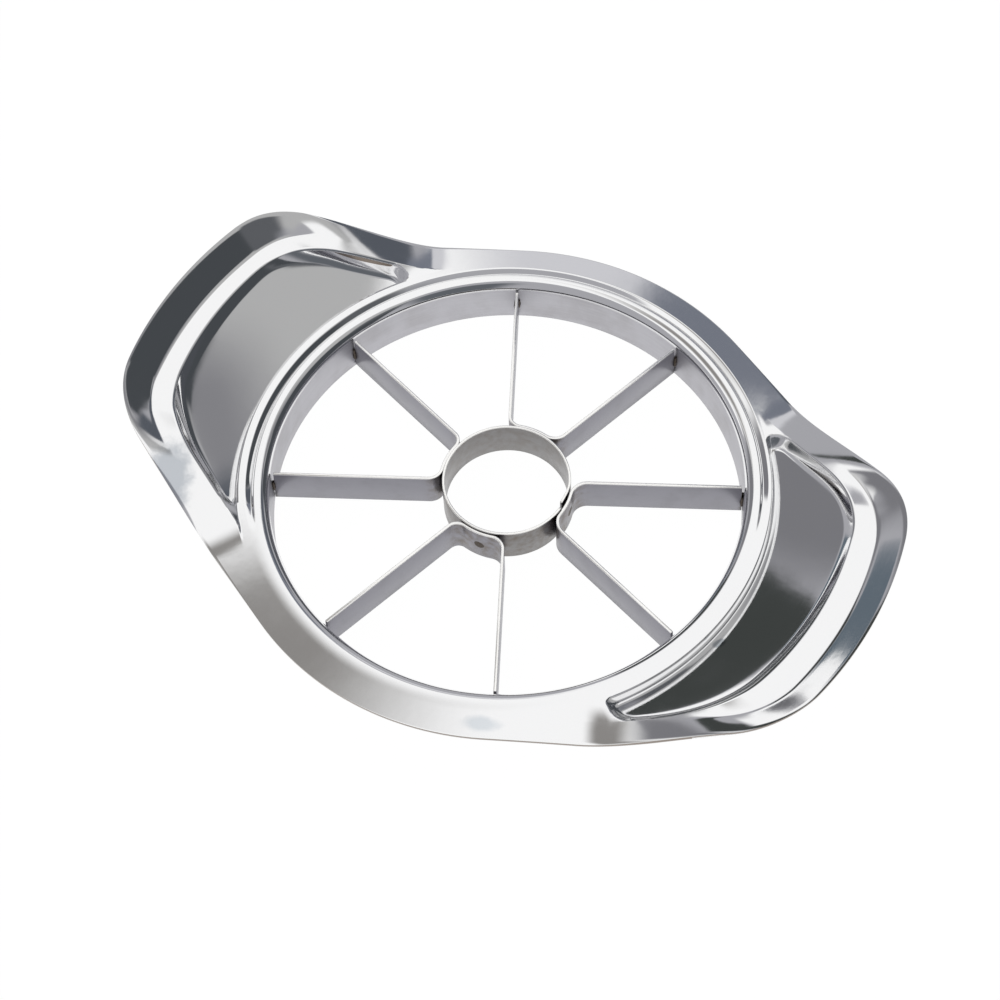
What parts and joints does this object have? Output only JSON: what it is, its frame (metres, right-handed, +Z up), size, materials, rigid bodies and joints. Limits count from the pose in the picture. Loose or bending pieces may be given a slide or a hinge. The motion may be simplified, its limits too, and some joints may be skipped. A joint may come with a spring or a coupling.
{
  "type": "apple slicer",
  "caption": "Push-down apple slicer of stainless steel: a pressed frame with two swept-up finger wings, bent blade strips and a core ring.",
  "frame": {"origin": "centre of the opening, on the lower edge of the drawn wall that the slicer stands on", "axes": "+X towards one finger wing, +Z up towards the side that the hands press on, so an apple passes along Z"},
  "size_m": [0.1524, 0.111, 0.0212],
  "materials": {
    "polished_frame": "mirror-polished stainless sheet with fine polishing lines",
    "satin_blade": "satin stainless strip with bright ground edges",
    "satin_core": "satin stainless strip with a faint warm tint",
    "weld_tint": "heat-tinted weld metal"
  },
  "bodies": {
    "root": {"pressed_frame": "polished_frame", "core_ring": "satin_core", "blade_strip_1": "satin_blade", "blade_strip_2": "satin_blade", "blade_strip_3": "satin_blade", "blade_strip_4": "satin_blade", "core_spot_welds": "weld_tint", "rim_tack_welds": "weld_tint"}
  },
  "joints": []
}
